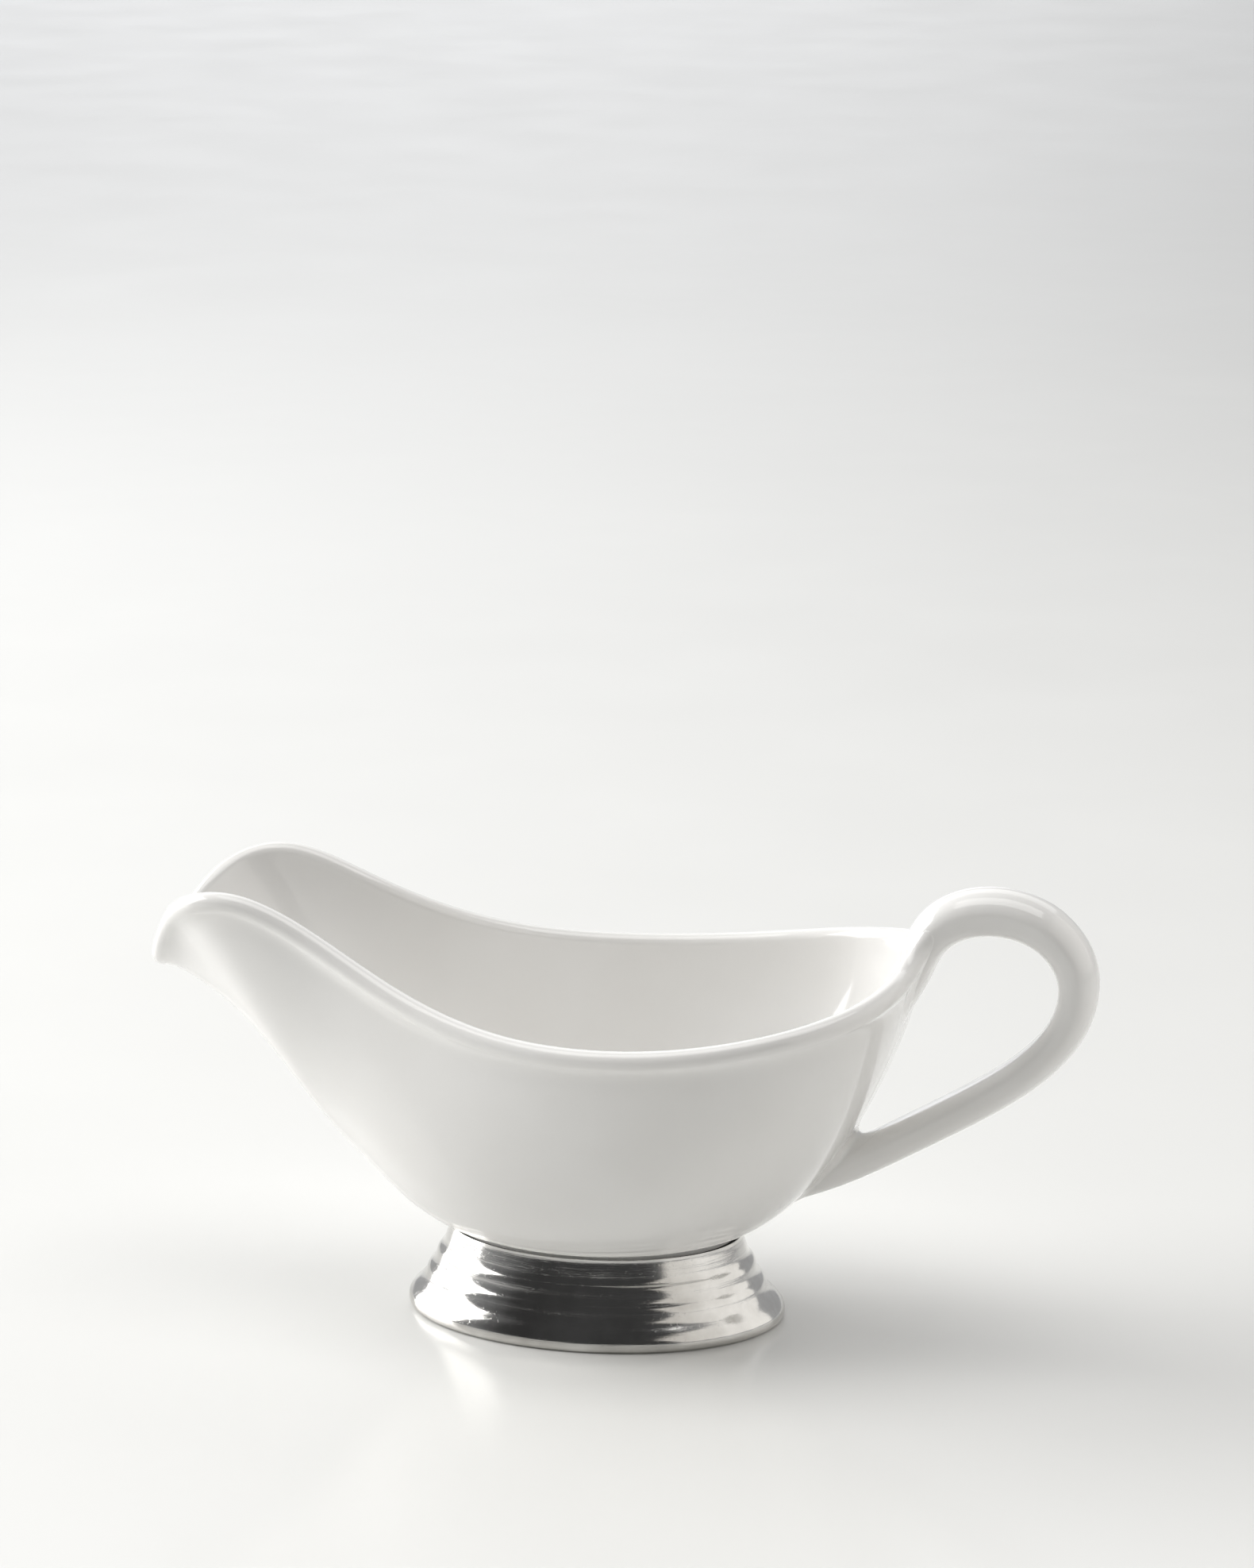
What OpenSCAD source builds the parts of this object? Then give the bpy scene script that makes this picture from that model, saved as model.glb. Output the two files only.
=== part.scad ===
// Gravy boat: a glazed ceramic bowl with a pouring lip and a strap handle, set on an oval pewter foot.
// +Z is up, +X runs from the spout towards the handle, and the origin is the centre of the foot's base.

/* [Rim] */
// Distance from the foot's centre to the tip of the pouring lip
bow_reach = 110.5; // [106:0.5:116]
// Distance from the foot's centre to the rim under the handle
stern_reach = 77.5; // [74:0.5:81]
// Half the width across the rim at its widest
half_beam = 52; // [48:0.5:56]
// Height of the rim at its lowest
rim_low = 77.5; // [74:0.5:81]
// Rise of the spout above the lowest rim
spout_rise = 27; // [22:0.5:32]
// Radius of the rolled bead along the rim
bead_r = 2.6; // [2.2:0.1:3]
// Thickness of the ceramic wall
wall = 3.6; // [3:0.1:4.2]

/* [Belly] */
// Half-length of the ceramic collar that sits in the foot
collar_l = 34.5; // [32:0.5:36]
// Reach of the lower belly towards the spout
turn_bow = 67; // [63:0.5:71]
// Reach of the lower belly towards the handle
turn_stern = 54.5; // [51:0.5:58]
// Half-width of the lower belly
turn_beam = 43; // [39:0.5:47]
// Height of the bowl's inside floor
floor_z = 26; // [25:0.25:27]

/* [Handle] */
// Width of the handle strap
strap_w = 14; // [11:0.5:16]
// Thickness of the strap where it leaves the rim
strap_top = 11; // [9:0.25:12]
// Thickness of the strap on its lower arm
strap_low = 8.8; // [7:0.1:9.5]
// How far the joining slip stands out around the strap
slip_bulge = 0.9; // [0.6:0.1:1.4]
// How far the joining slip spreads from the bowl
slip_spread = 1.6; // [1.2:0.1:2.4]

/* [Foot] */
// Height of the pewter foot
foot_h = 21; // [19.5:0.5:22]
// Half-length of the pewter foot's base
foot_l = 46.5; // [45:0.5:49]
// Width of every foot oval as a share of its length
oval = 0.71; // [0.68:0.01:0.75]
// Thickness of the pewter
pewter_t = 2; // [1.6:0.1:2.4]
// Thickness of the cement bed
cement_t = 0.5; // [0.4:0.1:0.8]

/* [Quality] */
// Points along each stretch between two rim stations
steps = 4; // [3:1:4]
// Rows of facets up the wall
wall_rows = 12; // [8:1:14]
// Sides of the strap
strap_sides = 20; // [16:2:24]

/* [Hidden] */
$fn = 180;
glaze = "whitesmoke";
pewter = "silver";
mortar = "dimgray";

// Rim stations from the lip's tip to the handle: [along, across, up], where along is -1 at the tip
// and +1 at the handle, across is 1 at the widest, and up is 0 at the lowest and 1 on the spout
rim_stations = [
    [-0.985, 0.00, 0.13], [-0.965, 0.12, 0.31], [-0.915, 0.24, 0.69], [-0.86, 0.42, 0.89],
    [-0.745, 0.465, 0.985], [-0.58, 0.47, 0.67], [-0.36, 0.64, 0.22], [-0.09, 0.90, 0.00],
    [0.32, 1.00, 0.04], [0.70, 0.92, 0.24], [0.93, 0.62, 0.41], [1.00, 0.30, 0.56],
    [1.00, 0.00, 0.65]
];
// The same stations on the flank: [along, across] as above, and height in shares of the lowest rim
flank_stations = [
    [-0.62, 0.00, 0.82], [-0.63, 0.24, 0.82], [-0.64, 0.40, 0.83], [-0.60, 0.42, 0.84],
    [-0.545, 0.46, 0.83], [-0.455, 0.55, 0.79], [-0.30, 0.70, 0.70], [-0.07, 0.88, 0.65],
    [0.32, 0.99, 0.65], [0.67, 0.90, 0.67], [0.87, 0.60, 0.71], [0.93, 0.24, 0.74],
    [0.93, 0.00, 0.75]
];
// Where each station's line starts on the foot oval, in degrees from the spout
foot_angles = [0, 4, 9, 14, 19, 27, 42, 68, 105, 137, 157, 170, 180];
last = len(rim_stations) - 1;

// Strap centre line in the plane of symmetry, [x, z], from inside the rim to inside the belly
strap_path = [
    [70, 66], [72.5, 78], [75.8, 89], [79.5, 98], [86.5, 105], [98, 107.2], [109.5, 104],
    [116.8, 95], [117.3, 86], [113.7, 76.4], [104.8, 67], [92, 58.4], [76, 49.2],
    [60, 39.8], [48, 33], [36, 27]
];
// Share of the way from the top thickness to the lower thickness at each of those points
strap_taper = [1, 1, 0.9, 0.5, 0.1, 0, 0.2, 0.6, 0.8, 0.9, 1, 1, 1, 1, 1, 1];

// Heights in the foot joint, from the pewter ledge up to the bowl's collar
ledge_z = foot_h - 2.5;
seat_z = ledge_z + cement_t;
spigot_z = ledge_z - 4;
ledge_l = collar_l - 7.5;
spigot_l = ledge_l - cement_t;
spigot_t = 4;
recess_z = floor_z - wall - 0.5;
lip_l = collar_l + 0.3;
collar_z = foot_h + 0.5;
cement_top = foot_h - 0.4;
// Height of the belly's turn, and how much higher it is under the spout and under the handle
turn_z = 24.5;
turn_lift_bow = 11;
turn_lift_stern = 5;
// The inside floor: its half-length, and how far its edge lies above its middle
floor_l = collar_l - 6;
floor_dish = 0.4;
// Where the outer wall ends under the bead: how far in from the wall's face, and how far down
throat_inset = 0.2;
throat_drop = 1;
// Angles round the bead's section, from its underside outside to the inner wall
bead_angles = [-30 : 30 : 180];
// Height at which the mouth is closed over in the bowl's solid mass
mouth_z = rim_low - 6;
// Heights between which each band of slip is kept, and the room for it along X
upper_slip_z = [rim_low - 7, rim_low + spout_rise];
lower_slip_z = [foot_h + 11, rim_low - 20];
slip_x = [40, 90];
// Steps of the pewter foot from the lip down: [in from the base edge, share of the foot's height]
foot_steps = [
    [8.7, 0.75], [7.5, 0.68], [6.3, 0.54], [5, 0.455], [3.9, 0.33], [1.2, 0.21], [0, 0.124],
    [0, 0.048], [0.8, 0]
];
// Width of the ring the foot rests on, and height of the hollow just inside it
rest_w = 2;
hollow_share = 0.124;
// How far the bead's centre sits outside the middle of the wall
bead_shift = 0.7;
// How far the foot's outline runs below the table before it is cut flat
trim = 1;
// Small step for taking slopes
nudge = 0.01;

// One value of a smooth cubic curve over control values p, at t counted in control points
function blend(p, t) =
    let (i = max(0, min(floor(t), len(p) - 4)), f = t - i, g = 1 - f)
    (g * g * g * p[i] + (3 * f * f * f - 6 * f * f + 4) * p[i + 1]
        + (3 * g * g * g - 6 * g * g + 4) * p[i + 2] + f * f * f * p[i + 3]) / 6;

// A half outline continued past both ends by its mirror image, ready for blend()
function flip(v) = [v.x, -v.y, v.z];
function mirrored(p) = [flip(p[1]), each p, flip(p[len(p) - 2])];

function reach(s) = s < 0 ? s * bow_reach : s * stern_reach;
rim_net = mirrored([for (s = rim_stations)
    [reach(s[0]), s[1] * half_beam, rim_low + s[2] * spout_rise]]);
flank_net = mirrored([for (s = flank_stations)
    [reach(s[0]), s[1] * half_beam, s[2] * rim_low]]);
angle_net = [-foot_angles[1], each foot_angles, 360 - foot_angles[last - 1]];

function unit(v) = v / norm(v);
function rim(t) = blend(rim_net, t);
function flank(t) = blend(flank_net, t);
function oval_point(t, half_l, z) =
    let (a = blend(angle_net, t))
    [-half_l * cos(a), half_l * oval * sin(a), z];
function turn(t) =
    let (a = blend(angle_net, t), bow = cos(a) > 0)
    [-(bow ? turn_bow : turn_stern) * cos(a), turn_beam * sin(a),
        turn_z + (bow ? turn_lift_bow : turn_lift_stern) * cos(a) * cos(a)];

// Directions at the rim: along it, down the wall, and straight out of the wall
function run(t) = unit(rim(t + nudge) - rim(t - nudge));
function down(t) =
    let (r = run(t), w = flank(t) - rim(t))
    unit(w - (w * r) * r);
function out(t) = cross(run(t), down(t));

// Top of the outer wall, tucked under the bead
function throat(t) = rim(t) + (wall / 2 - throat_inset) * out(t)
    + (bead_r + throat_drop) * down(t);

// Outer wall from the collar, v = 0, to the throat, v = 1
function skin(t, v) =
    let (u = 1 - v)
    u * u * u * oval_point(t, collar_l, collar_z) + 3 * u * u * v * turn(t)
        + 3 * u * v * v * flank(t) + v * v * v * throat(t);
function normal(t, v) =
    unit(cross(skin(t + nudge, v) - skin(t - nudge, v), skin(t, v - nudge) - skin(t, v + nudge)));

// One closed ring of the bowl at a given row, all the way round
ring_t = [for (i = [0 : last * steps]) i / steps];
function whole(half) = [each half, for (i = [len(half) - 2 : -1 : 1]) flip(half[i])];
function oval_ring(half_l, z) = whole([for (t = ring_t) oval_point(t, half_l, z)]);
function wall_ring(v, depth) = whole([for (t = ring_t) skin(t, v) - depth * normal(t, v)]);
function bead_ring(angle, grow) = whole([for (t = ring_t)
    rim(t) + bead_shift * out(t)
        + (bead_r + grow) * (cos(angle) * out(t) - sin(angle) * down(t))]);

// Skin a stack of rings that all have the same number of points, with flat caps at both ends
module loft(rings) {
    n = len(rings[0]);
    k = len(rings);
    polyhedron(
        points = [for (r = rings) each r],
        faces = [
            [for (i = [n - 1 : -1 : 0]) i],
            for (j = [0 : k - 2], i = [0 : n - 1]) each
                let (a = j * n + i, b = j * n + (i + 1) % n)
                [[a, b, b + n], [a, b + n, a + n]],
            [for (i = [0 : n - 1]) (k - 1) * n + i]
        ]
    );
}

// Everything inside the bowl's outer surface, swollen by grow, with the mouth closed over
module bowl_mass(grow = 0) {
    rows = [for (j = [0 : wall_rows]) j / wall_rows];
    loft([
        oval_ring(collar_l + grow, seat_z),
        for (v = rows) wall_ring(v, -grow),
        for (a = bead_angles) bead_ring(a, grow),
        oval_ring(1, mouth_z)
    ]);
}

module bowl() {
    up = [for (j = [0 : wall_rows]) j / wall_rows];
    color(glaze) loft([
        oval_ring(spigot_l - spigot_t, recess_z),
        oval_ring(spigot_l - spigot_t, spigot_z),
        oval_ring(spigot_l, spigot_z),
        oval_ring(spigot_l, seat_z),
        oval_ring(collar_l, seat_z),
        for (v = up) wall_ring(v, 0),
        for (a = bead_angles) bead_ring(a, 0),
        for (j = [wall_rows : -1 : 1]) wall_ring(j / wall_rows, wall),
        oval_ring(floor_l, floor_z + floor_dish),
        oval_ring(collar_l / 2, floor_z)
    ]);
}

// Strap centre line and thickness at t
path_net = [for (p = strap_path) [p[0], 0, p[1]]];
function centre(t) = blend(path_net, t);
function thick(t) = let (k = blend(strap_taper, t)) strap_top + k * (strap_low - strap_top);
path_end = len(strap_path) - 3;
function strap_section(t, grow) =
    let (along = unit(centre(t + nudge) - centre(t - nudge)), side = [0, 1, 0],
        face = cross(side, along))
    [for (i = [0 : strap_sides - 1])
        let (a = 360 * (i + 0.5) / strap_sides)
        centre(t) + (strap_w / 2 + grow) * cos(a) * side + (thick(t) / 2 + grow) * sin(a) * face];

module strap(grow = 0) {
    rows = 4 * path_end;
    loft([for (j = [0 : rows]) strap_section(j / 4, grow)]);
}

module handle() {
    color(glaze) resize([0, 0, 0]) difference() {
        strap();
        bowl_mass();
    }
}

// Slip left around the strap where it meets the bowl, between two heights z = [low, high]
module slip(z) {
    color(glaze) resize([0, 0, 0]) difference() {
        intersection() {
            strap(slip_bulge);
            bowl_mass(slip_spread);
            translate([slip_x[0], -strap_w, z[0]])
                cube([slip_x[1] - slip_x[0], 2 * strap_w, z[1] - z[0]]);
        }
        strap();
        bowl_mass();
    }
}

module upper_slip() slip(upper_slip_z);
module lower_slip() slip(lower_slip_z);

// Outline of the pewter foot: [x, z] from the ledge, over the lip, down the stepped outside and
// back up the hollow
module foot_outline() {
    rest_l = foot_l - 0.8;
    polygon([
        [ledge_l, ledge_z], [lip_l, ledge_z], [lip_l, foot_h], [lip_l + 0.9, foot_h],
        [lip_l + 1.5, foot_h - 0.7],
        for (s = foot_steps) [foot_l - s[0], s[1] * foot_h],
        [rest_l, -trim], [rest_l - rest_w, -trim], [rest_l - rest_w, 0],
        [foot_l - 3.2, hollow_share * foot_h], [foot_l - 6, 0.23 * foot_h],
        [foot_l - 11, ledge_z - pewter_t], [ledge_l, ledge_z - pewter_t]
    ]);
}

// Turn an outline round the Z axis and squeeze it to the foot's oval, one quarter at a time,
// keeping only what is above the table
module oval_turn() {
    size = 2 * foot_l + 2;
    for (a = [0 : 90 : 270])
        intersection() {
            scale([1, oval, 1]) rotate([0, 0, a]) rotate_extrude(angle = 90) children();
            translate([-size / 2, -size / 2, 0]) cube([size, size, foot_h + 1]);
        }
}

module pewter_foot() {
    color(pewter) oval_turn() foot_outline();
}

module cement_ring() {
    color(mortar) oval_turn() polygon([
        [spigot_l, ledge_z - pewter_t], [ledge_l, ledge_z - pewter_t], [ledge_l, ledge_z],
        [lip_l, ledge_z], [lip_l, cement_top], [collar_l, cement_top], [collar_l, seat_z],
        [spigot_l, seat_z]
    ]);
}

bowl();
handle();
upper_slip();
lower_slip();
pewter_foot();
cement_ring();
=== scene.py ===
"""Footed gravy boat: glazed ceramic bowl and loop handle on a polished oval pewter foot."""
import math

import bmesh
import bpy
import numpy as np
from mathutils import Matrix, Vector, noise
from mathutils.bvhtree import BVHTree


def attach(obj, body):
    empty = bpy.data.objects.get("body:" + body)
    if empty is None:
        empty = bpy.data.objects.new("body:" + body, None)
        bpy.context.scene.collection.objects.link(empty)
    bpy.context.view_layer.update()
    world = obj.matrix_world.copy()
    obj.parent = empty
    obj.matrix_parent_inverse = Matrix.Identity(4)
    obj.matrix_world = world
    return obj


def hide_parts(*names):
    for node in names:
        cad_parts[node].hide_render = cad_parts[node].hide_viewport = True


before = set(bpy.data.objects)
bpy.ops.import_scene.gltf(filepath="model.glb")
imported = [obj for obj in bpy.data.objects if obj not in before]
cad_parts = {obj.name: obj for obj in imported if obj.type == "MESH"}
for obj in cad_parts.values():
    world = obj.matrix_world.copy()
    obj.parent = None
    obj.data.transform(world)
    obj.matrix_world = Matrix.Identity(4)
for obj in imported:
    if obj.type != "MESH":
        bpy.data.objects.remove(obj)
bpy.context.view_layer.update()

MM = 0.001

# --- Sizes, in millimetres, as in the CAD design -------------------------------------------------
BOW_REACH = 110.5
STERN_REACH = 77.5
HALF_BEAM = 52.0
RIM_LOW = 77.5
SPOUT_RISE = 27.0
BEAD_R = 2.6
# How far the bead's centre sits outside the middle of the wall
BEAD_SHIFT = 0.7
WALL = 3.6
# Where the outer wall ends under the bead: how far in from the wall's face, and how far down
THROAT_INSET = 0.2
THROAT_DROP = 1.0
COLLAR_L = 34.5
TURN_BOW = 67.0
TURN_STERN = 54.5
TURN_BEAM = 43.0
TURN_Z = 24.5
TURN_LIFT_BOW = 11.0
TURN_LIFT_STERN = 5.0
FLOOR_Z = 26.0
FOOT_H = 21.0
FOOT_L = 46.5
OVAL = 0.71
PEWTER_T = 2.0

# Rim stations from the lip's tip to the handle: along, across, up, as shares of the sizes above
RIM_STATIONS = [
    (-0.985, 0.00, 0.13), (-0.965, 0.12, 0.31), (-0.915, 0.24, 0.69), (-0.86, 0.42, 0.89),
    (-0.745, 0.465, 0.985), (-0.58, 0.47, 0.67), (-0.36, 0.64, 0.22), (-0.09, 0.90, 0.00),
    (0.32, 1.00, 0.04), (0.70, 0.92, 0.24), (0.93, 0.62, 0.41), (1.00, 0.30, 0.56),
    (1.00, 0.00, 0.65),
]
# The same stations on the flank, with the height as a share of the lowest rim
FLANK_STATIONS = [
    (-0.62, 0.00, 0.82), (-0.63, 0.24, 0.82), (-0.64, 0.40, 0.83), (-0.60, 0.42, 0.84),
    (-0.545, 0.46, 0.83), (-0.455, 0.55, 0.79), (-0.30, 0.70, 0.70), (-0.07, 0.88, 0.65),
    (0.32, 0.99, 0.65), (0.67, 0.90, 0.67), (0.87, 0.60, 0.71), (0.93, 0.24, 0.74),
    (0.93, 0.00, 0.75),
]
# Where each station's line starts on the foot oval, in degrees from the spout
FOOT_ANGLES = [0, 4, 9, 14, 19, 27, 42, 68, 105, 137, 157, 170, 180]
LAST = len(RIM_STATIONS) - 1

# Handle centre line in the plane of symmetry, [x, z], from inside the rim to inside the belly
STRAP_PATH = [
    (70, 66), (72.5, 78), (75.8, 89), (79.5, 98), (86.5, 105), (98, 107.2), (109.5, 104),
    (116.8, 95), (117.3, 86), (113.7, 76.4), (104.8, 67), (92, 58.4), (76, 49.2),
    (60, 39.8), (48, 33), (36, 27),
]
# Half-thickness of the handle at those points, on its outer face and on the face over the gap
STRAP_OUTER = [0.0, 0.0, 1.6, 5.2, 5.7, 5.5, 5.3, 4.9, 4.6, 4.5, 4.4, 4.4, 4.4, 4.2, 1.6, -2.0]
STRAP_INNER = [-4.0, 2.4, 5.6, 5.0, 5.5, 5.5, 5.3, 4.9, 4.6, 4.5, 4.4, 4.4, 4.4, 4.4, 4.4, 4.4]
# Half-width of the handle there: it spreads where it grows out of the rim
STRAP_HALF_W = [10.0, 10.0, 10.0, 8.8, 7.4] + [7.0] * 11


# --- Curves and surfaces of the bowl -------------------------------------------------------------
def blend(points, t):
    """A smooth cubic curve over control values, at t counted in control points."""
    points = np.asarray(points, float)
    t = np.asarray(t, float)
    i = np.clip(np.floor(t).astype(int), 0, len(points) - 4)
    f = (t - i)[..., None]
    g = 1 - f
    return (g**3 * points[i] + (3 * f**3 - 6 * f**2 + 4) * points[i + 1]
            + (3 * g**3 - 6 * g**2 + 4) * points[i + 2] + f**3 * points[i + 3]) / 6


def unit(v):
    return v / np.linalg.norm(v, axis=-1, keepdims=True)


def dot(a, b):
    return np.sum(a * b, axis=-1, keepdims=True)


def mirrored(points):
    """A half outline continued past both ends by its mirror image, ready for blend()."""
    flip = np.array([1, -1, 1])
    points = np.asarray(points, float)
    return np.vstack([points[1] * flip, points, points[-2] * flip])


def reach(share):
    return share * (BOW_REACH if share < 0 else STERN_REACH)


RIM_NET = mirrored([(reach(a), b * HALF_BEAM, RIM_LOW + c * SPOUT_RISE) for a, b, c in RIM_STATIONS])
FLANK_NET = mirrored([(reach(a), b * HALF_BEAM, c * RIM_LOW) for a, b, c in FLANK_STATIONS])
ANGLE_NET = np.array([-FOOT_ANGLES[1], *FOOT_ANGLES, 360 - FOOT_ANGLES[-2]], float)[:, None]
# Small step for taking slopes
NUDGE = 0.01


def rim(t):
    return blend(RIM_NET, t)


def flank(t):
    return blend(FLANK_NET, t)


def foot_angle(t):
    return np.radians(blend(ANGLE_NET, t)[..., 0])


def oval_line(t, half_l, z):
    """A point on the foot oval of that half-length, under station t."""
    a = foot_angle(t)
    return np.stack([-half_l * np.cos(a), half_l * OVAL * np.sin(a), np.full_like(a, z)], -1)


def turn(t):
    """The belly's turn: the point that pulls the wall out from the collar."""
    a = foot_angle(t)
    bow = np.cos(a) > 0
    half_l = np.where(bow, TURN_BOW, TURN_STERN)
    lift = np.where(bow, TURN_LIFT_BOW, TURN_LIFT_STERN)
    return np.stack([-half_l * np.cos(a), TURN_BEAM * np.sin(a), TURN_Z + lift * np.cos(a) ** 2], -1)


def rim_axes(t):
    """Directions at the rim: down the wall, and straight out of it."""
    run = unit(rim(t + NUDGE) - rim(t - NUDGE))
    w = flank(t) - rim(t)
    down = unit(w - dot(w, run) * run)
    return down, np.cross(run, down)


def throat(t):
    """Top of the outer wall, tucked under the bead."""
    down, out = rim_axes(t)
    return rim(t) + (WALL / 2 - THROAT_INSET) * out + (BEAD_R + THROAT_DROP) * down


def skin(t, v):
    """Outer wall from the collar, v = 0, to just under the bead, v = 1."""
    v = np.asarray(v, float)[..., None]
    u = 1 - v
    return (u**3 * oval_line(t, COLLAR_L, FOOT_H + 0.5) + 3 * u**2 * v * turn(t)
            + 3 * u * v**2 * flank(t) + v**3 * throat(t))


def skin_normal(t, v):
    v = np.broadcast_to(np.asarray(v, float), np.shape(t))
    across = skin(t + NUDGE, v) - skin(t - NUDGE, v)
    fall = skin(t, v - NUDGE) - skin(t, v + NUDGE)
    return unit(np.cross(across, fall))


def lining(t, v):
    """Inner wall, one wall's thickness inside the skin."""
    return skin(t, v) - WALL * skin_normal(t, v)


def bead(t, degrees):
    """A point on the rolled bead: 0 faces straight out of the wall and 90 straight up."""
    down, out = rim_axes(t)
    a = math.radians(degrees)
    return rim(t) + BEAD_SHIFT * out + BEAD_R * (math.cos(a) * out - math.sin(a) * down)


def bead_slope(t, degrees):
    """The way the bead's section runs at that angle."""
    down, out = rim_axes(t)
    a = math.radians(degrees)
    return -math.sin(a) * out - math.cos(a) * down


def bezier(p0, p1, p2, p3, v):
    u = 1 - v
    return u**3 * p0 + 3 * u**2 * v * p1 + 3 * u * v**2 * p2 + v**3 * p3


# --- Mesh helpers --------------------------------------------------------------------------------
def grid_faces(rows, count, first=0):
    """Quads between stacked rings that each have the same number of points."""
    faces = []
    for j in range(rows - 1):
        for i in range(count):
            a = first + j * count + i
            b = first + j * count + (i + 1) % count
            faces.append((a, b, b + count, a + count))
    return faces


def loft(name, rings, caps=True, closed=False):
    """An object skinned over rings of points in millimetres; caps close its two ends, and closed joins
    the last ring to the first."""
    rings = [np.asarray(r, float) for r in rings]
    count = len(rings[0])
    rows = len(rings)
    points = np.vstack(rings) * MM
    faces = grid_faces(rows, count)
    if closed:
        base = (rows - 1) * count
        faces += [(base + i, base + (i + 1) % count, (i + 1) % count, i) for i in range(count)]
    elif caps:
        ends = [(rings[0], 0, 1), (rings[-1], (rows - 1) * count, -1)]
        for ring, base, way in ends:
            points = np.vstack([points, ring.mean(0) * MM])
            hub = len(points) - 1
            for i in range(count):
                pair = (base + (i + 1) % count, base + i)[::way]
                faces.append((*pair, hub))
    return mesh_object(name, points, faces)


def mesh_object(name, points, faces):
    mesh = bpy.data.meshes.new(name)
    mesh.from_pydata(np.asarray(points).tolist(), [], faces)
    mesh.validate()
    form = bmesh.new()
    form.from_mesh(mesh)
    bmesh.ops.recalc_face_normals(form, faces=form.faces)
    form.to_mesh(mesh)
    form.free()
    mesh.polygons.foreach_set("use_smooth", [True] * len(mesh.polygons))
    piece = bpy.data.objects.new(name, mesh)
    bpy.context.scene.collection.objects.link(piece)
    return piece


def surface_tree(piece):
    """A search tree over a piece's mesh, in millimetres."""
    points = [v.co / MM for v in piece.data.vertices]
    faces = [tuple(p.vertices) for p in piece.data.polygons]
    return BVHTree.FromPolygons(points, faces)


def show(piece, node, material):
    """Let a finished piece stand for a CAD node."""
    piece.data.materials.clear()
    piece.data.materials.append(material)
    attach(piece, "root")
    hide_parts(node)
    return piece


# --- The bowl ------------------------------------------------------------------------------------
STATION_STEPS = 16
WALL_ROWS = 64
FILLET_ROWS = 10
# Rows of the wall where the hollow above the collar ends, and where the inside floor begins
COLLAR_ROW = 8
INSIDE_ROW = 7
# Half-length of the flat middle of the inside floor
FLOOR_L = 21.0
LEDGE_Z = FOOT_H - 2.5
SEAT_Z = LEDGE_Z + 0.5
SPIGOT_L = COLLAR_L - 8.0
SPIGOT_T = 4.0
SPIGOT_Z = LEDGE_Z - 4.0
RECESS_Z = FLOOR_Z - WALL - 0.5
# Angles round the bead's section, from its underside outside to the inner wall
BEAD_START = -40
BEAD_END = 180
BEAD_STEP = 10


def whole(half):
    """A half ring from the lip to the handle, closed by its mirror image."""
    half = np.array(half)
    half[:, 1] = np.maximum(half[:, 1], 0.05 * np.minimum(np.arange(len(half)), 4))
    half[0, 1] = 0
    half[-1, 1] = 0
    return np.vstack([half, half[-2:0:-1] * np.array([1, -1, 1])])


def build_bowl():
    """The bowl as one skin: recess, spigot, collar, outer wall, bead, inner wall and floor."""
    t = np.linspace(0, LAST, LAST * STATION_STEPS + 1)
    # the recess and the spigot under the bowl, as half-lengths and heights, with softened edges
    recess_l = SPIGOT_L - SPIGOT_T
    rings = [whole(oval_line(t, half_l, z)) for half_l, z in (
        (recess_l - 6, RECESS_Z), (recess_l - 0.8, RECESS_Z), (recess_l, RECESS_Z - 0.7),
        (recess_l, SPIGOT_Z + 0.6), (recess_l + 0.6, SPIGOT_Z), (SPIGOT_L - 0.6, SPIGOT_Z),
        (SPIGOT_L, SPIGOT_Z + 0.6), (SPIGOT_L, SEAT_Z), (COLLAR_L - 0.4, SEAT_Z),
        (COLLAR_L, SEAT_Z + 0.4),
    )]
    up = np.linspace(0, 1, WALL_ROWS + 1)
    # a hollow sweep from the upright collar out onto the belly
    start, end = oval_line(t, COLLAR_L, FOOT_H + 0.2), skin(t, up[COLLAR_ROW])
    climb = unit(end - skin(t, up[COLLAR_ROW - 1]))
    for k in range(FILLET_ROWS):
        rings.append(whole(bezier(start, start + [0, 0, 1.6], end - 3.0 * climb, end,
                                  k / FILLET_ROWS)))
    for v in up[COLLAR_ROW:-2]:
        rings.append(whole(skin(t, v)))
    # a hollow sweep from the wall out onto the underside of the bead
    start, end = skin(t, up[-3]), bead(t, BEAD_START)
    climb = unit(start - skin(t, up[-4]))
    turn_in = bead_slope(t, BEAD_START)
    for k in range(1, FILLET_ROWS):
        rings.append(whole(bezier(start, start + 2.2 * climb, end - 1.1 * turn_in, end,
                                  k / FILLET_ROWS)))
    for degrees in range(BEAD_START, BEAD_END + 1, BEAD_STEP):
        rings.append(whole(bead(t, degrees)))
    for v in up[:INSIDE_ROW - 1:-1]:
        rings.append(whole(lining(t, v)))
    # the inside wall rounds into a nearly flat floor
    start, end = lining(t, up[INSIDE_ROW]), oval_line(t, FLOOR_L, FLOOR_Z + 0.2)
    fall = unit(start - lining(t, up[INSIDE_ROW + 1]))
    outward = unit(end - oval_line(t, FLOOR_L - 1, FLOOR_Z + 0.2))
    for k in range(1, FILLET_ROWS + 1):
        rings.append(whole(bezier(start, start + 5.0 * fall, end + 5.0 * outward, end,
                                  k / FILLET_ROWS)))
    for share in (0.8, 0.6, 0.4, 0.2):
        rings.append(whole(oval_line(t, FLOOR_L * share, FLOOR_Z + 0.2 * share**2)))
    return loft("glazed_bowl", rings)


# --- The handle ----------------------------------------------------------------------------------
STRAP_SIDES = 64
ROWS_PER_STEP = 16
# How far the face over the gap is squared off: 1 is a plain oval
FLATNESS = 0.62
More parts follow.
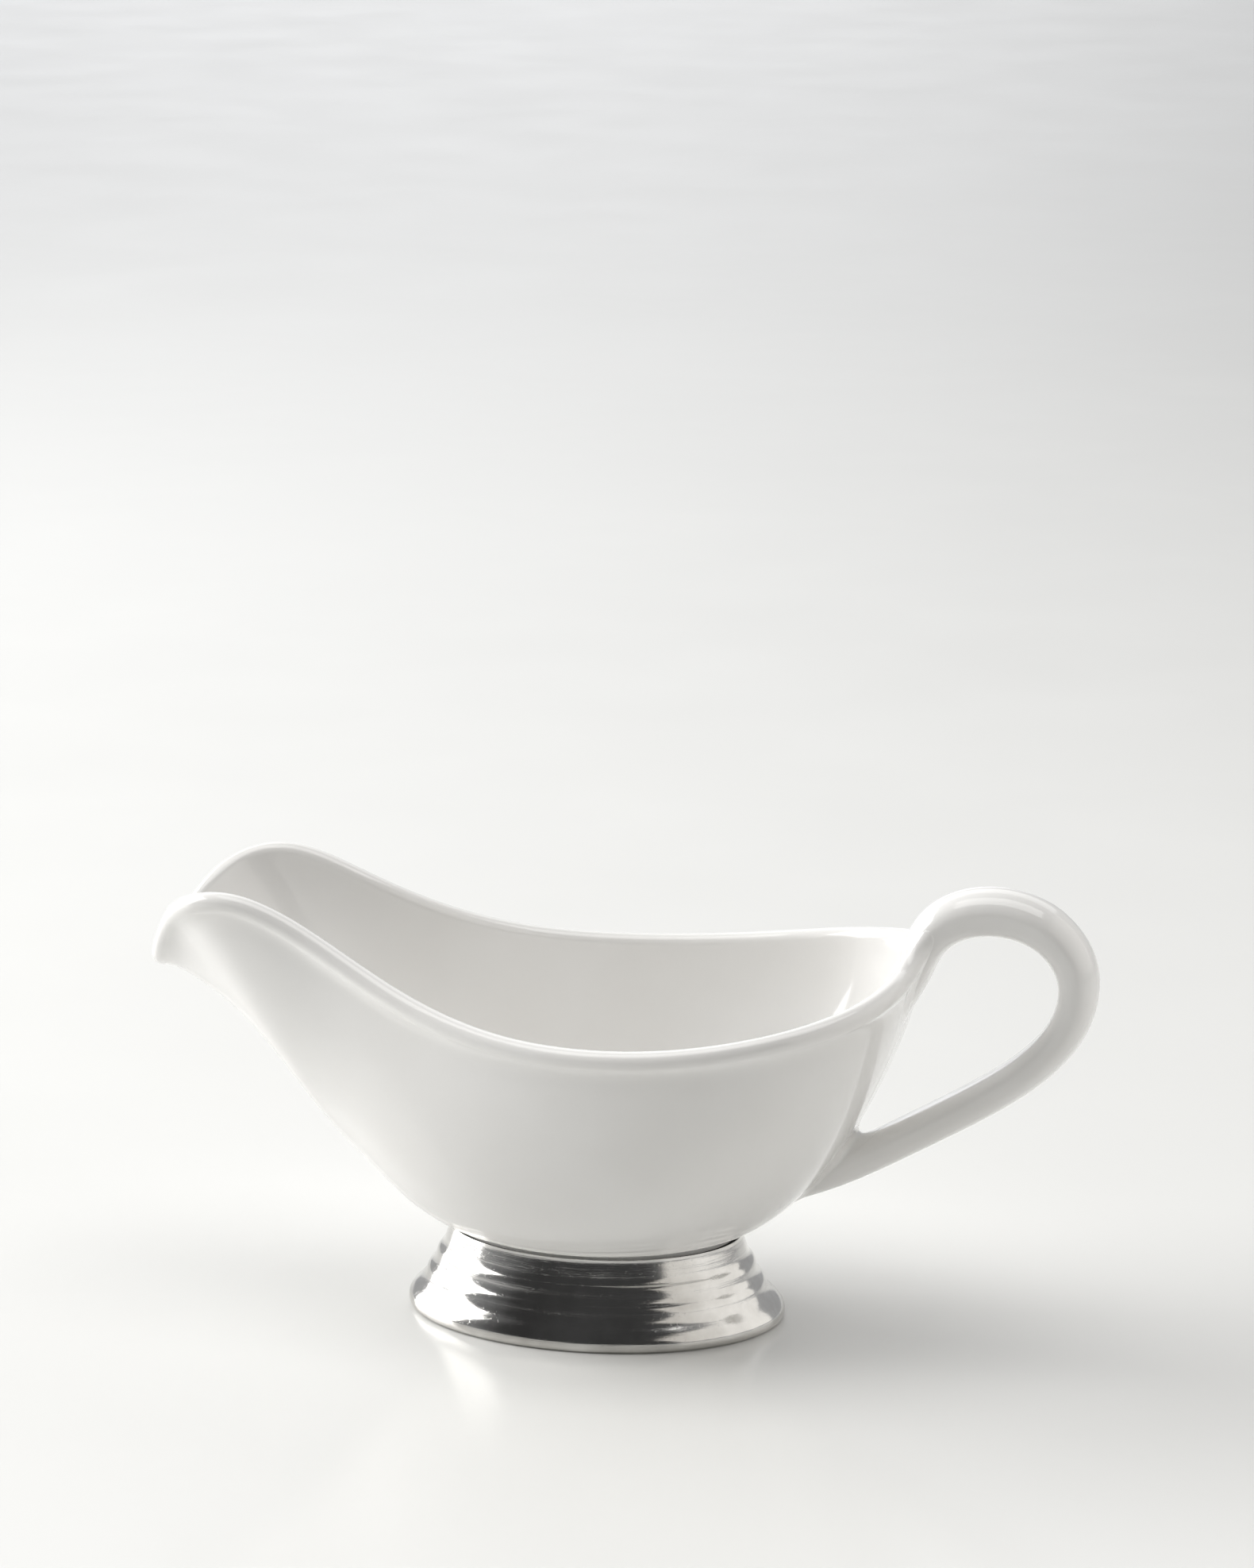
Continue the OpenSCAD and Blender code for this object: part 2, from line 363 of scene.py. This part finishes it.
# Path steps over which that squaring grows from the root
ROOT_STEPS = 4.0
PATH_END = len(STRAP_PATH) - 3
PATH_NET = np.array([(x, 0, z) for x, z in STRAP_PATH], float)
SIDE = np.array([0.0, 1.0, 0.0])


def strap_point(t, angle):
    """A point on the handle's skin; angle 90 is the face over the gap and 0 is its +Y side."""
    centre = blend(PATH_NET, t)
    along = unit(blend(PATH_NET, t + NUDGE) - blend(PATH_NET, t - NUDGE))
    face = np.cross(SIDE, along)
    inner = math.sin(angle) > 0
    half_t = blend(np.array(STRAP_INNER if inner else STRAP_OUTER, float)[:, None], t)
    power = 1.0 + (FLATNESS - 1.0) * min(1.0, t / ROOT_STEPS) if inner else 1.0
    across = math.copysign(abs(math.cos(angle)) ** power, math.cos(angle))
    rise = math.copysign(abs(math.sin(angle)) ** power, math.sin(angle))
    half_w = blend(np.array(STRAP_HALF_W)[:, None], t)
    return centre + half_w * across * SIDE + half_t * rise * face


def strap_angles():
    return [2 * math.pi * (i + 0.5) / STRAP_SIDES for i in range(STRAP_SIDES)]


def strap_line(angle, start, end):
    t = np.linspace(start, end, int(abs(end - start) * ROWS_PER_STEP) + 1)
    return np.array([strap_point(value, angle) for value in t])


def build_handle():
    lines = np.array([strap_line(a, 0.0, PATH_END) for a in strap_angles()])
    return loft("glazed_handle", [lines[:, j] for j in range(lines.shape[1])])


# --- The slip that joins the handle to the bowl --------------------------------------------------
# How far the edges of the slip dip under the two skins they join, and how far its middle stands proud
SINK = 0.02
SWELL = 0.15
# How far the slip's hidden inner edges lie under the skins
ROOT_DEPTH = 0.6
# Share of each leg of the fillet that follows the skin it leaves
FULLNESS = 0.62
SLIP_ROWS = 15
# Times the slip's edges are evened out round the handle
SLIP_PASSES = 6


def towards(angle, degrees, width):
    """1 where the angle round the handle is at degrees or its mirror image, easing to 0."""
    own = math.degrees(angle)
    away = min(abs((place - degrees + 180) % 360 - 180) for place in (own, 180 - own))
    return math.exp(-(away / width) ** 2)


def walk_on(tree, start, heading, length, step=0.25):
    """Walk over a surface from a point on it, setting off in a heading, and return where it ends."""
    point = Vector(start)
    heading = Vector(heading)
    for _ in range(max(1, round(length / step))):
        point, normal, _, _ = tree.find_nearest(point)
        heading = (heading - heading.dot(normal) * normal).normalized()
        point = point + heading * step
    return tree.find_nearest(point)[0]


def entry(tree, path):
    """Where a line of points first enters a surface, and the number of the point after it."""
    for k in range(1, len(path)):
        step = path[k] - path[k - 1]
        hit = tree.ray_cast(path[k - 1], step.normalized(), step.length)[0]
        if hit is not None:
            return hit, k
    raise ValueError("a handle line never enters the bowl")


def go_back(path, corner, k, length):
    """The point that lies that length back along the line from the corner before point k."""
    here = corner
    while k > 0 and length > (here - path[k - 1]).length:
        k -= 1
        length -= (here - path[k]).length
        here = path[k]
    return here + (path[k - 1] - here).normalized() * length


def evened(points, passes):
    """Points round a closed ring, each drawn towards its neighbours."""
    for _ in range(passes):
        points = (np.roll(points, 1, 0) + 2 * points + np.roll(points, -1, 0)) / 4
    return points


def settled(tree, points):
    """Each point moved to the nearest place on a surface, with the surface's normals there."""
    found = [tree.find_nearest(Vector(p)) for p in points]
    return np.array([f[0] for f in found]), np.array([f[1] for f in found])


def build_slip(name, bowl_tree, strap_tree, start, end, up_len, spread_len):
    """The soft ring of slip round one end of the handle: each handle line is followed from start
    towards end until it enters the bowl, and a fillet joins the two skins there. up_len and
    spread_len give the fillet's two lengths for an angle round the handle."""
    corners, backs, spreads = [], [], []
    for angle in strap_angles():
        path = [Vector(p) for p in strap_line(angle, start, end)]
        corner, k = entry(bowl_tree, path)
        outward = strap_tree.find_nearest(corner)[1]
        corners.append(corner)
        backs.append(go_back(path, corner, k, up_len(angle)))
        spreads.append(walk_on(bowl_tree, corner, outward, spread_len(angle)))
    corner = evened(np.array(corners), SLIP_PASSES)
    back, back_normal = settled(strap_tree, evened(np.array(backs), SLIP_PASSES))
    spread, spread_normal = settled(bowl_tree, evened(np.array(spreads), SLIP_PASSES))
    back_normal = unit(evened(back_normal, 2))
    spread_normal = unit(evened(spread_normal, 2))
    leave = corner - back
    leave = leave - dot(leave, back_normal) * back_normal
    arrive = spread - corner
    arrive = arrive - dot(arrive, spread_normal) * spread_normal
    proud = SWELL * unit(back_normal + spread_normal)
    rings = [back - ROOT_DEPTH * back_normal]
    for v in np.linspace(0, 1, SLIP_ROWS):
        hollow = bezier(back - SINK * back_normal, back + FULLNESS * leave,
                        spread - FULLNESS * arrive, spread - SINK * spread_normal, v)
        rings.append(hollow + 4 * v * (1 - v) * proud)
    rings += [spread - ROOT_DEPTH * spread_normal, corner - back_normal - spread_normal]
    return loft(name, rings, closed=True)


# --- The foot ------------------------------------------------------------------------------------
FOOT_SIDES = 256
# Largest radius on the foot's outside and inside corners, and longest stretch of its outline
OUTSIDE_RADIUS = 2.5
INSIDE_RADIUS = 0.9
OUTLINE_GAP = 0.5
# Depth to which the steps were worn by polishing, and how much that varies
WEAR = 0.12
WAVER = 0.10
# Outline of the foot, as half-length less than the base's and height as a share of the foot's:
# the stepped outside from the lip down to the base edge
FOOT_STEPS = [
    (10.4, 0.965), (8.8, 0.74), (7.4, 0.68), (6.4, 0.53), (4.9, 0.465), (4.0, 0.33),
    (1.2, 0.21), (0.0, 0.124), (0.0, 0.048),
]


def rounded(points, radius, steps=5):
    """The outline with each inner corner rounded off by about that radius."""
    points = [np.array(p, float) for p in points]
    out = [points[0]]
    for before, corner, after in zip(points, points[1:], points[2:]):
        a = before - corner
        b = after - corner
        cut = min(radius, 0.49 * np.linalg.norm(a), 0.49 * np.linalg.norm(b))
        p0 = corner + cut * unit(a)
        p2 = corner + cut * unit(b)
        for v in np.linspace(0, 1, steps):
            out.append((1 - v) ** 2 * p0 + 2 * v * (1 - v) * corner + v**2 * p2)
    out.append(points[-1])
    return out


def resampled(points, gap):
    """The same outline with no stretch longer than gap."""
    out = [points[0]]
    for a, b in zip(points, points[1:]):
        n = max(1, math.ceil(np.linalg.norm(b - a) / gap))
        out += [a + (b - a) * k / n for k in range(1, n + 1)]
    return out


def build_foot():
    lip = COLLAR_L + 0.3
    outside = [(lip + 0.8, FOOT_H - 1.6), (lip + 0.95, FOOT_H - 0.1), (lip + 1.2, FOOT_H)]
    outside += [(FOOT_L - inset, FOOT_H * share) for inset, share in FOOT_STEPS]
    outside += [(FOOT_L - 0.8, 0), (FOOT_L - 2.8, 0)]
    inside = [
        (FOOT_L - 3.2, 0.124 * FOOT_H), (FOOT_L - 6, 0.229 * FOOT_H),
        (FOOT_L - 11, LEDGE_Z - PEWTER_T), (COLLAR_L - 7.5, LEDGE_Z - PEWTER_T),
        (COLLAR_L - 7.5, LEDGE_Z), (lip, LEDGE_Z),
    ]
    outline = rounded(outside, OUTSIDE_RADIUS)[:-1]
    outline += rounded([outside[-1], *inside], INSIDE_RADIUS)
    outline = resampled(outline, OUTLINE_GAP)
    a = np.linspace(0, 2 * math.pi, FOOT_SIDES, endpoint=False)
    rings = [np.stack([half_l * np.cos(a), half_l * OVAL * np.sin(a), np.full_like(a, z)], -1)
             for half_l, z in outline]
    foot = loft("pewter_stand", rings, closed=True)
    # the casting was finished by hand, so its steps waver a little
    for v in foot.data.vertices:
        height = v.co.z / MM
        # none at the base or the lip, so that both stay true
        swell = min(1.0, height / 2) * min(1.0, max(0.0, (FOOT_H - height) / 6))
        wave = noise.noise(Vector((v.co.x, v.co.y, v.co.z * 3)) * 45)
        inward = -Vector((v.co.x, v.co.y, 0)).normalized()
        v.co += inward * (WEAR - WAVER * wave) * swell * MM
    return foot


# --- Materials -----------------------------------------------------------------------------------
class Nodes:
    """A few short ways to build a material's node tree."""

    def __init__(self, name):
        self.material = bpy.data.materials.new(name)
        self.material.use_nodes = True
        self.tree = self.material.node_tree
        self.shader = self.tree.nodes["Principled BSDF"]
        self.place = self.tree.nodes.new("ShaderNodeTexCoord").outputs["Object"]

    def stretched(self, scale):
        mapping = self.tree.nodes.new("ShaderNodeMapping")
        mapping.inputs["Scale"].default_value = scale
        self.tree.links.new(self.place, mapping.inputs["Vector"])
        return mapping.outputs["Vector"]

    def noise(self, scale, detail=3.0, roughness=0.5, vector=None, distortion=0.0):
        node = self.tree.nodes.new("ShaderNodeTexNoise")
        node.inputs["Scale"].default_value = scale
        node.inputs["Detail"].default_value = detail
        node.inputs["Roughness"].default_value = roughness
        node.inputs["Distortion"].default_value = distortion
        self.tree.links.new(vector or self.place, node.inputs["Vector"])
        return node.outputs["Fac"]

    def ramp(self, value, stops):
        node = self.tree.nodes.new("ShaderNodeValToRGB")
        elements = node.color_ramp.elements
        while len(elements) < len(stops):
            elements.new(0.5)
        for element, (position, colour) in zip(elements, stops):
            element.position = position
            element.color = (*colour, 1)
        self.tree.links.new(value, node.inputs["Fac"])
        return node.outputs["Color"]

    def span(self, value, low, high):
        node = self.tree.nodes.new("ShaderNodeMapRange")
        node.inputs["To Min"].default_value = low
        node.inputs["To Max"].default_value = high
        self.tree.links.new(value, node.inputs["Value"])
        return node.outputs["Result"]

    def bump(self, height, distance, strength=1.0, under=None):
        node = self.tree.nodes.new("ShaderNodeBump")
        node.inputs["Distance"].default_value = distance
        node.inputs["Strength"].default_value = strength
        self.tree.links.new(height, node.inputs["Height"])
        if under is not None:
            self.tree.links.new(under, node.inputs["Normal"])
        return node.outputs["Normal"]

    def join(self, output, socket):
        self.tree.links.new(output, self.shader.inputs[socket])


def glaze_material():
    """Warm white glaze: even, with faint pooling, a soft orange-peel and a bright gloss."""
    m = Nodes("white_glaze")
    pooling = m.noise(28, detail=2)
    m.join(m.ramp(pooling, [(0.30, (0.855, 0.845, 0.825)), (0.70, (0.885, 0.878, 0.862))]), "Base Color")
    m.join(m.span(m.noise(160, detail=2), 0.07, 0.14), "Roughness")
    ripple = m.bump(m.noise(60, detail=1), 0.00020, strength=0.10)
    m.join(m.bump(m.noise(700, detail=1), 0.00004, strength=0.06, under=ripple), "Normal")
    m.shader.inputs["IOR"].default_value = 1.52
    m.shader.inputs["Coat Weight"].default_value = 0.35
    m.shader.inputs["Coat Roughness"].default_value = 0.04
    return m.material


def pewter_material():
    """Hand-polished pewter: brush marks run round the foot, with small pits and cloudy patches."""
    m = Nodes("polished_pewter")
    brushed = m.noise(1.0, detail=4, roughness=0.6, vector=m.stretched((20, 20, 340)))
    fine = m.noise(1.0, detail=5, roughness=0.7, vector=m.stretched((90, 90, 2600)))
    cloud = m.noise(60, detail=4, roughness=0.6)
    m.join(m.ramp(cloud, [(0.30, (0.56, 0.545, 0.52)), (0.62, (0.76, 0.75, 0.725))]), "Base Color")
    m.join(m.span(cloud, 0.06, 0.16), "Roughness")
    m.shader.inputs["Metallic"].default_value = 1.0
    bands = m.bump(brushed, 0.0004, strength=0.20)
    marks = m.bump(fine, 0.00006, strength=0.22, under=bands)
    pits = m.noise(1400, detail=3, roughness=0.7)
    m.join(m.bump(m.ramp(pits, [(0.28, (0, 0, 0)), (0.40, (1, 1, 1))]), 0.00004, strength=0.2,
                  under=marks), "Normal")
    return m.material


def painted_seam_shade_material():
    """Cement in the joint between ceramic and pewter, coloured nearly black as painted shade for the
    shadowed seam under the ceramic collar.
    """
    m = Nodes("seam_shade_cement")
    grain = m.noise(900, detail=4, roughness=0.7)
    # the near-black colour is painted shade of the seam; the grain only varies it a little
    m.join(m.ramp(grain, [(0.3, (0.012, 0.011, 0.010)), (0.7, (0.040, 0.037, 0.033))]), "Base Color")
    m.join(m.span(grain, 0.75, 0.95), "Roughness")
    m.join(m.bump(grain, 0.0002, strength=0.6), "Normal")
    return m.material


def floor_material():
    """Plain pale tabletop with a slight polish."""
    m = Nodes("pale_tabletop")
    cloud = m.noise(3, detail=3)
    m.join(m.ramp(cloud, [(0.3, (0.80, 0.80, 0.785)), (0.7, (0.82, 0.82, 0.805))]), "Base Color")
    m.join(m.span(m.noise(12, detail=3), 0.16, 0.24), "Roughness")
    m.join(m.bump(m.noise(9, detail=2), 0.002, strength=0.06), "Normal")
    m.shader.inputs["Specular IOR Level"].default_value = 0.35
    return m.material


# --- Build the object ----------------------------------------------------------------------------
GLAZE = glaze_material()
PEWTER = pewter_material()

bowl = build_bowl()
handle = build_handle()
bowl_tree = surface_tree(bowl)
strap_tree = surface_tree(handle)
# at the rim the slip is widest beside the handle, and at the belly it is widest in the crotch
upper = build_slip(
    "upper_join", bowl_tree, strap_tree, start=3.6, end=0.0,
    up_len=lambda angle: 2.5 + 6.5 * towards(angle, -25, 50),
    spread_len=lambda angle: 1.8 + 7.5 * towards(angle, -25, 50),
)
lower = build_slip(
    "lower_join", bowl_tree, strap_tree, start=PATH_END - 4.2, end=PATH_END,
    up_len=lambda angle: 2.0 + 9.0 * towards(angle, 90, 60),
    spread_len=lambda angle: 1.5 + 8.5 * towards(angle, 90, 60),
)
show(bowl, "bowl", GLAZE)
show(handle, "handle", GLAZE)
show(upper, "upper_slip", GLAZE)
show(lower, "lower_slip", GLAZE)
show(build_foot(), "pewter_foot", PEWTER)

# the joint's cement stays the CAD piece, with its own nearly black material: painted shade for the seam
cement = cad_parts["cement_ring"]
cement.data.materials.clear()
cement.data.materials.append(painted_seam_shade_material())

# --- Floor, light and camera ---------------------------------------------------------------------
FLOOR_HALF = 6.0


def build_floor():
    n = 24
    line = np.linspace(-FLOOR_HALF, FLOOR_HALF, n)
    points = [(x, y, 0.0) for y in line for x in line]
    faces = [(j * n + i, j * n + i + 1, (j + 1) * n + i + 1, (j + 1) * n + i)
             for j in range(n - 1) for i in range(n - 1)]
    floor = mesh_object("tabletop", points, faces)
    floor.data.materials.append(floor_material())
    return floor


def softbox(name, place, target, size, power, colour):
    light = bpy.data.lights.new(name, "AREA")
    light.shape = "RECTANGLE"
    light.size, light.size_y = size
    light.energy = power
    light.color = colour
    lamp = bpy.data.objects.new(name, light)
    lamp.location = place
    lamp.rotation_euler = (Vector(target) - Vector(place)).to_track_quat("-Z", "Y").to_euler()
    bpy.context.scene.collection.objects.link(lamp)
    return lamp


# Directions from the boat, with the cosine where each part of the room begins and where it is full.
DARK_FRONT = ((-0.05, -0.87, 0.49), 0.25, 0.80)
PALE_WALL = ((-0.30, 0.95, -0.05), 0.955, 0.992)
ROOM, FRONT, WALL_GLOW = 0.42, 0.05, 1.1


def build_world():
    """A dim room: darkest in front, for the pewter's deep reflection, with a pale wall behind."""
    world = bpy.data.worlds.new("studio")
    world.use_nodes = True
    tree = world.node_tree
    place = tree.nodes.new("ShaderNodeTexCoord").outputs["Generated"]

    def shade(part, outside, inside):
        direction, begins, full = part
        facing = tree.nodes.new("ShaderNodeVectorMath")
        facing.operation = "DOT_PRODUCT"
        facing.inputs[1].default_value = Vector(direction).normalized()
        tree.links.new(place, facing.inputs[0])
        span = tree.nodes.new("ShaderNodeMapRange")
        span.inputs["From Min"].default_value = begins
        span.inputs["From Max"].default_value = full
        span.inputs["To Min"].default_value = outside
        span.inputs["To Max"].default_value = inside
        tree.links.new(facing.outputs["Value"], span.inputs["Value"])
        return span.outputs["Result"]

    total = tree.nodes.new("ShaderNodeMath")
    total.operation = "ADD"
    tree.links.new(shade(DARK_FRONT, ROOM, FRONT), total.inputs[0])
    tree.links.new(shade(PALE_WALL, 0.0, WALL_GLOW), total.inputs[1])
    background = tree.nodes["Background"]
    background.inputs["Color"].default_value = (0.97, 0.98, 1.0, 1)
    tree.links.new(total.outputs["Value"], background.inputs["Strength"])
    bpy.context.scene.world = world


build_floor()
build_world()
softbox("window", (-1.5, 0.17, 0.68), (0, 0, 0.05), (1.5, 1.25), 34, (1.0, 0.995, 0.98))
softbox("overhead", (0.0, -0.15, 1.7), (0, 0.0, 0), (1.8, 1.0), 12, (1.0, 0.995, 0.98))
softbox("right_board", (1.25, -0.25, 0.7), (0, -0.25, 0.1), (2.8, 1.3), 7, (1.0, 0.96, 0.90))
softbox("far_fill", (-0.4, 3.2, 2.2), (-0.4, 3.2, 0), (4.0, 3.0), 32, (1.0, 1.0, 1.0))

camera_data = bpy.data.cameras.new("camera")
camera_data.sensor_width = 36
camera_data.lens = 122.0
camera_data.clip_end = 50
camera = bpy.data.objects.new("camera", camera_data)
camera.location = (0.29553, -1.18531, 0.44463)
camera.rotation_euler = tuple(math.radians(a) for a in (75.609, 0, 13.648))
bpy.context.scene.collection.objects.link(camera)
bpy.context.scene.camera = camera
bpy.context.scene.view_settings.view_transform = "Standard"
